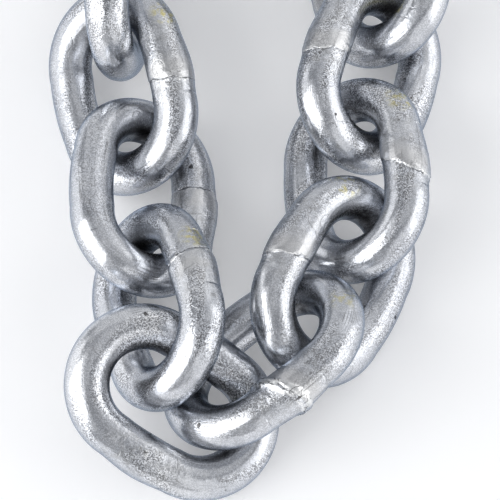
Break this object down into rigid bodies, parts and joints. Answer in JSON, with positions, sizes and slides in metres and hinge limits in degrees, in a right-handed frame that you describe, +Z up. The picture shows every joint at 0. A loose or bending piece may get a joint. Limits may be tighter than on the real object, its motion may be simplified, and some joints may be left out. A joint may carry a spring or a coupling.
{
  "type": "steel chain",
  "caption": "A metre of short-link welded steel chain in bright zinc, laid doubled on the floor as two strands joined by a bend, with a free eye at each end.",
  "frame": {"origin": "on the floor, under the middle of the chain's box", "axes": "+Y runs along the two strands from the bend to the free ends; +X is to the right when looking along +Y; +Z is up from the floor"},
  "size_m": [0.104, 0.4746, 0.0365],
  "materials": {
    "bright_zinc": "bright zinc plating on welded round steel wire, glossy and slightly grainy"
  },
  "bodies": {
    "root": {"link_01": "bright_zinc", "link_02": "bright_zinc", "link_03": "bright_zinc", "link_04": "bright_zinc", "link_05": "bright_zinc", "link_06": "bright_zinc", "link_07": "bright_zinc", "link_08": "bright_zinc", "link_09": "bright_zinc", "link_10": "bright_zinc", "link_11": "bright_zinc", "link_12": "bright_zinc", "link_13": "bright_zinc", "link_14": "bright_zinc", "link_15": "bright_zinc", "link_16": "bright_zinc", "link_17": "bright_zinc", "link_18": "bright_zinc", "link_19": "bright_zinc", "link_20": "bright_zinc", "link_21": "bright_zinc", "link_22": "bright_zinc", "link_23": "bright_zinc", "link_24": "bright_zinc", "link_25": "bright_zinc", "link_26": "bright_zinc", "link_27": "bright_zinc", "link_28": "bright_zinc", "link_29": "bright_zinc", "link_30": "bright_zinc", "link_31": "bright_zinc", "link_32": "bright_zinc", "link_33": "bright_zinc"}
  },
  "joints": []
}
